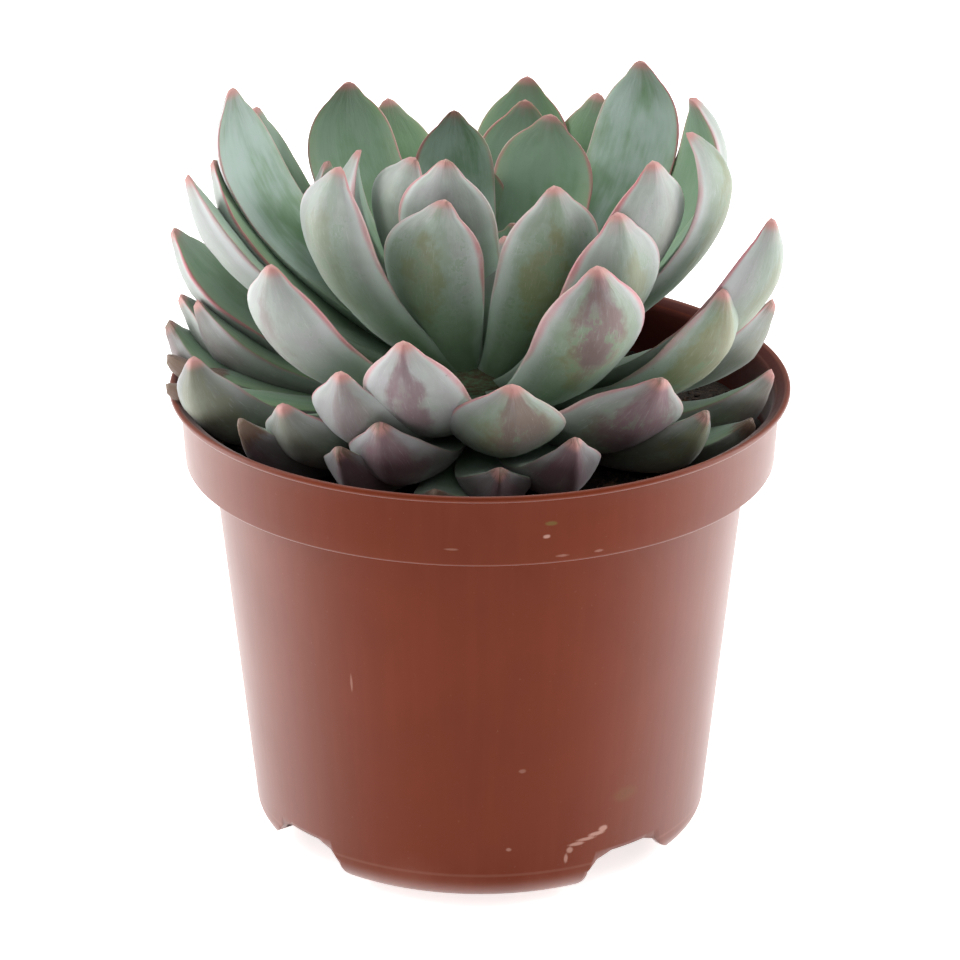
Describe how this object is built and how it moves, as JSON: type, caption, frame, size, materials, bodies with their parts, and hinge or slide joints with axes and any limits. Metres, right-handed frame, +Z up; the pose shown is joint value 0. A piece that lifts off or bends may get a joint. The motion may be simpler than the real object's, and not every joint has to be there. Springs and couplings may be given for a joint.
{
  "type": "potted rosette succulent",
  "caption": "Rosette succulent of thick, pointed, powdery green leaves, growing in dark medium in a round terracotta-red plastic nursery pot.",
  "frame": {"origin": "on the pot's axis, at the level that its feet stand on", "axes": "+Z up along the pot's axis, -Y towards the side that the picture shows"},
  "size_m": [0.105, 0.1052, 0.1284],
  "materials": {
    "pot_plastic": "thin terracotta-red polypropylene with a soft sheen, slightly dusty and scuffed",
    "growing_medium": "dark moist peat medium, rough, with brown bits and a few white perlite grains",
    "leaf": "grey-green waxy leaf with a powdery bloom and thin pink margins"
  },
  "bodies": {
    "root": {"pot": "pot_plastic", "soil": "growing_medium", "rosette": "leaf"}
  },
  "joints": []
}
